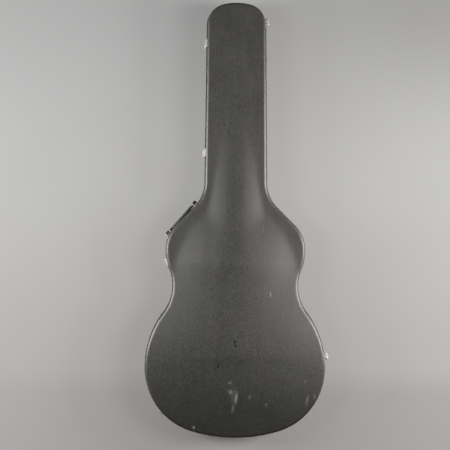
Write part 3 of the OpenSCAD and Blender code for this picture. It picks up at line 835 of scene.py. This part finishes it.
def body_lining():
    """Plush glued to the inside of the wall, a little uneven, its top edge turned over."""
    top = SEAM_BODY - 0.05 * MM
    foot = LINING_IN - 9 * MM      # turned in under the pad
    profile = [(foot, FLOOR + 0.01 * MM), (-RIM - 0.1 * MM, FLOOR + 0.01 * MM), (-RIM - 0.1 * MM, top)]
    profile += quarter(LINING_IN + 1.2 * MM, top - 1.2 * MM, 1.2 * MM, 90, 180, 4)
    profile += [(LINING_IN, z) for z in np.arange(0.082, 0.006, -0.006)]
    profile += [(LINING_IN, FLOOR + 0.08 * MM), (foot, FLOOR + 0.08 * MM)]
    verts, faces = sweep(profile, closed=True)
    n = len(LOOP)
    for j, (d, z) in enumerate(profile):
        if d == LINING_IN and z > PAD_TOP:
            rows = slice(j * n, (j + 1) * n)
            back = unevenness(*verts[rows].T, 0.035, 0.5 * MM)
            verts[rows, :2] += back[:, None] * NORMAL
    cloth = new_object("body_lining_plush", verts, faces)
    paint(place(cloth, "case_body", "plush", "body_lining"), PLUSH)


def dust_lip():
    """The covered strip round the opening that the lid closes over."""
    half = (-LINING_IN - RIM) / 3
    low, high = LIP[0].z + half, LIP[1].z - half
    profile = quarter(LINING_IN - half, high, half - 0.02 * MM, 0, 180, 8)
    profile += quarter(LINING_IN - half, low, half - 0.02 * MM, 180, 360, 8)
    strip = new_object("dust_lip_strip", *sweep(profile, closed=True))
    paint(place(strip, "case_body", "plush", "dust_lip"), PLUSH)


def lid_lining():
    """Plush glued inside the arched lid."""
    n, corner = len(LOOP), 1 * MM
    low = SEAM_LID + 0.05 * MM
    face = BORDER_Z - LID_LINING_DROP
    rings = [(-RIM - 0.1 * MM, low, 0.0), (LID_LINING_IN + corner, low, 0.0)]
    rings += [(d, z, 0.0) for d, z in quarter(LID_LINING_IN + corner, low + corner, corner, -110, -180, 3)]
    rings += [(LID_LINING_IN, z, 0.0) for z in (0.094, 0.100, 0.106)]
    rings += [(d, z, 1.0) for d, z in quarter(LID_LINING_IN - FILLET, face - FILLET, FILLET, 0, 90, 4)]
    verts = []
    for d, z, follow in rings:
        at = LOOP + d * NORMAL
        verts.append(np.column_stack([at, z + follow * arch(at[:, 0], at[:, 1])]))
    faces = []
    for j in range(len(rings) - 1):
        for i in range(n):
            k = (i + 1) % n
            faces.append((j * n + i, j * n + k, (j + 1) * n + k, (j + 1) * n + i))

    def ceiling(x, y):
        slack = unevenness(x, y, np.zeros_like(x), 0.05, 0.8 * MM)
        rim = np.clip(np.abs(x) / (3 * MM), 0, 1)
        return face + arch(x, y) + slack * rim * 0.5 + slack * 0.5

    inside = fill(LID_LINING_IN - FILLET, ceiling, 56)
    inside[0][:n] = verts[-1]
    cloth = new_object("lid_lining_plush", *joined((np.concatenate(verts), faces), inside))
    paint(place(cloth, "lid", "plush", "lid_lining"), PLUSH)


def held_in(points, offset):
    """Points moved back, where they lie outside the outline at an offset, to that outline."""
    tree = KDTree(len(LOOP))
    for i, at in enumerate(LOOP):
        tree.insert((at[0], at[1], 0), i)
    tree.balance()
    for point in points:
        i = tree.find((point[0], point[1], 0))[1]
        past = (point[:2] - LOOP[i]) @ NORMAL[i] - offset
        if past > 0:
            point[:2] -= past * NORMAL[i]


def stuffed(piece, voxel, pressure, cap, floor, offset=None):
    """The piece swollen by a short cloth simulation: no point moves further than cap or below floor."""
    remesh = piece.modifiers.new("remesh", "REMESH")
    remesh.mode, remesh.voxel_size = "VOXEL", voxel
    apply_modifiers(piece)
    count = len(piece.data.vertices)
    start = np.empty(count * 3)
    piece.data.vertices.foreach_get("co", start)
    start = start.reshape(-1, 3)
    cloth = piece.modifiers.new("cloth", "CLOTH")
    cloth.settings.use_pressure = True
    cloth.settings.uniform_pressure_force = pressure
    cloth.settings.effector_weights.gravity = 0
    cloth.settings.quality = 4
    for step in range(1, 21):
        bpy.context.scene.frame_set(step)
    graph = bpy.context.evaluated_depsgraph_get()
    swollen = np.empty(count * 3)
    piece.evaluated_get(graph).data.vertices.foreach_get("co", swollen)
    piece.modifiers.clear()
    bpy.context.scene.frame_set(1)
    move = swollen.reshape(-1, 3) - start
    length = np.maximum(np.linalg.norm(move, axis=1), 1e-9)
    start = start + move * np.minimum(1, cap / length)[:, None]
    start[:, 2] = np.maximum(start[:, 2], floor)
    if offset is not None:
        held_in(start, offset)
    piece.data.vertices.foreach_set("co", start.ravel())
    piece.data.update()
    soften = piece.modifiers.new("soften", "SUBSURF")
    soften.levels = soften.render_levels = 1
    apply_modifiers(piece)
    for polygon in piece.data.polygons:
        polygon.use_smooth = True
    return piece


def bottom_pad():
    inset, rise = 0.6 * MM, 2.4 * MM
    low, high = FLOOR + 0.3 * MM, PAD_TOP - rise
    edge = LINING_IN - inset
    pad = joined(sweep([(edge, low), (edge, high)]), fill(edge, lambda x, y: np.full_like(x, low), 24),
                 fill(edge, lambda x, y: np.full_like(x, high), 24))
    piece = stuffed(new_object("bottom_pad_plush", *pad), 5 * MM, 4, rise - 0.1 * MM,
                    FLOOR + 0.1 * MM, LINING_IN - 0.05 * MM)
    paint(place(piece, "case_body", "plush", "bottom_pad"), PLUSH)


def neck_rest():
    """A stuffed block with a round hollow for the neck."""
    inset, radius = 2.6 * MM, 34 * MM
    low, high = REST[0], REST[1]
    axis_z = high.z + 12 * MM
    top = high.z - inset
    reach = math.acos((axis_z - top) / (radius + inset))
    bottom = low.z + 0.4 * MM
    section = [(low.x + inset, bottom), (high.x - inset, bottom), (high.x - inset, top)]
    for a in np.linspace(reach, -reach, 17):
        section.append(((radius + inset) * math.sin(a), axis_z - (radius + inset) * math.cos(a)))
    section.append((low.x + inset, top))
    m = len(section)
    verts = [(x, y, z) for y in (low.y + inset, high.y - inset) for x, z in section]
    faces = [(k, (k + 1) % m, m + (k + 1) % m, m + k) for k in range(m)]
    faces += [tuple(range(m)), tuple(range(m, 2 * m))]
    block = new_object("neck_rest_plush", verts, faces)
    piece = stuffed(block, 3.5 * MM, 4, inset - 0.1 * MM, low.z + 0.1 * MM)
    paint(place(piece, "case_body", "plush", "neck_rest"), PLUSH)


def pull_tab():
    """A leather tab with a round end, glued to the pocket lid."""
    low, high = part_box("pocket_tab")
    half = (high.x - low.x) / 2
    outline = [(half, high.y), (-half, high.y)]
    for a in range(180, 361, 12):
        outline.append((half * math.cos(math.radians(a)), low.y + half + half * math.sin(math.radians(a))))
    m = len(outline)
    verts = [(x, y, z) for z in (low.z, high.z) for x, y in outline]
    faces = [(k, (k + 1) % m, m + (k + 1) % m, m + k) for k in range(m)]
    faces += [tuple(range(m)), tuple(range(m, 2 * m))]
    tab = finished(new_object("pocket_tab_leather", verts, faces), 0.35 * MM)
    paint(place(tab, "pocket_lid", "vinyl", "pocket_tab"), VINYL)


body_lining()
dust_lip()
lid_lining()
bottom_pad()
neck_rest()
pull_tab()
for board in ("pocket_wall_body", "pocket_wall_head"):
    polished(board, "case_body", "plush", PLUSH, 1.3 * MM)
polished("pocket_lid", "pocket_lid", "plush", PLUSH, 1.5 * MM)


def pocket_tape():
    """The cloth hinge of the pocket lid: a strip glued to the lid and over the wall behind it."""
    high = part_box("pocket_lid")[1]
    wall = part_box("pocket_wall_head")[1]
    half_width, thick, glued, steps = 60 * MM, 0.6 * MM, 12 * MM, 24
    out, over = wall.y + 0.15 * MM, high.z + 0.15 * MM
    bend = out - high.y
    line = [(out, wall.z - glued), (out, wall.z - glued / 2)]
    line += quarter(high.y, over - bend, bend, 0, 90, 6)
    line += [(high.y - glued / 2, over), (high.y - glued, over)]
    outer = [(line[0][0] + thick, line[0][1]), (line[1][0] + thick, line[1][1])]
    outer += quarter(high.y, over - bend, bend + thick, 0, 90, 6)
    outer += [(y, z + thick) for y, z in line[-2:]]
    section = line + outer[::-1]
    m = len(section)
    verts, faces = [], []
    for k in range(steps + 1):
        x = half_width * (2 * k / steps - 1)
        verts += [(x, y, z) for y, z in section]
    for k in range(steps):
        for j in range(m):
            i = (j + 1) % m
            faces.append((k * m + j, k * m + i, (k + 1) * m + i, (k + 1) * m + j))
    faces += [tuple(range(m)), tuple(range(steps * m, steps * m + m))]
    tape = paint(new_object("pocket_hinge_tape", verts, faces), PLUSH)
    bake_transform(tape)


pocket_tape()

# ---------------------------------------------------------------- camera, light and floor

VIEW_WIDTH = 1.1534        # width of the picture at the seam's height
CAMERA_UP = 3.0            # camera above the seam
SENSOR = 0.036


def add_camera():
    data = bpy.data.cameras.new("camera")
    data.sensor_width = SENSOR * 1000
    data.lens = 1000 * SENSOR * CAMERA_UP / VIEW_WIDTH
    camera = bpy.data.objects.new("camera", data)
    camera.location = (-0.027, -0.013, SEAM_LID + CAMERA_UP)
    camera.rotation_euler = (0, 0, math.radians(0.3))
    bpy.context.scene.collection.objects.link(camera)
    bpy.context.scene.camera = camera


def add_light(name, location, target, size, power, colour=(1, 1, 1)):
    data = bpy.data.lights.new(name, "AREA")
    data.shape = "RECTANGLE"
    data.size, data.size_y = size
    data.energy = power
    data.color = colour
    light = bpy.data.objects.new(name, data)
    light.location = location
    aim = Vector(target) - Vector(location)
    light.rotation_euler = aim.to_track_quat("-Z", "Y").to_euler()
    bpy.context.scene.collection.objects.link(light)


def add_floor():
    size, steps = 6.0, 24
    grid = bmesh.new()
    bmesh.ops.create_grid(grid, x_segments=steps, y_segments=steps, size=size)
    mesh = bpy.data.meshes.new("floor")
    grid.to_mesh(mesh)
    grid.free()
    floor = bpy.data.objects.new("floor", mesh)
    floor.location.z = BACK[0].z - 0.3 * MM
    bpy.context.scene.collection.objects.link(floor)
    s = Shader("floor")
    at = s.add("SeparateXYZ", {0: s.place})
    across, along = at.outputs["X"], at.outputs["Y"]
    # Painted shade: the floor's tone darkens towards the bottom and towards the top, standing in for light falling
    # off.
    tone = s.mix(s.remap(along, -0.34, 0.1), (0.48, 0.455, 0.445), (0.57, 0.565, 0.56))
    tone = s.mix(s.remap(along, 0.15, 0.62), tone, (0.42, 0.42, 0.42))
    # Painted shade: a much darker corner towards +X and +Y.
    corner = s.math("MULTIPLY", s.remap(along, 0.10, 0.58), s.remap(across, -0.02, 0.58))
    tone = s.mix(s.math("MULTIPLY", corner, 0.5), tone, (0.06, 0.06, 0.06))
    # Painted shade: a darker band near the bottom, stronger towards +X.
    near = s.math("MULTIPLY", s.remap(along, -0.38, -0.47), s.remap(across, -0.9, 0.7, 0.14, 0.31, False))
    tone = s.mix(near, tone, (0.03, 0.03, 0.03))
    tone = s.mix(s.remap(s.noise(3.2, 4, 0.6), 0.3, 0.7, 0.0, 0.12), tone, (0.3, 0.29, 0.28))
    tone = s.mix(s.remap(s.noise(160, 4, 0.7), 0.3, 0.7, 0.0, 0.10), tone, (0.35, 0.34, 0.33))
    s.surface(Base_Color=tone, Roughness=0.85)
    paint(floor, s.material)


def add_world():
    world = bpy.data.worlds.new("studio")
    world.use_nodes = True
    background = world.node_tree.nodes["Background"]
    background.inputs[0].default_value = (0.95, 0.96, 1.0, 1)
    background.inputs[1].default_value = 0.18
    bpy.context.scene.world = world


add_camera()
add_floor()
add_world()
add_light("strip_left", (-1.6, 0.10, 0.72), (0, 0.1, 0.1), (0.7, 1.0), 32, (1.0, 0.99, 0.97))
add_light("strip_right", (1.6, 0.10, 0.72), (0, 0.1, 0.1), (0.7, 1.0), 42, (1.0, 0.98, 0.95))
add_light("softbox_left", (-1.05, 0.19, 1.75), (0, 0.05, 0.1), (0.5, 0.8), 9, (1.0, 0.99, 0.97))
add_light("softbox_right", (1.05, 0.02, 1.75), (0, -0.10, 0.1), (0.5, 0.8), 13, (1.0, 0.98, 0.95))
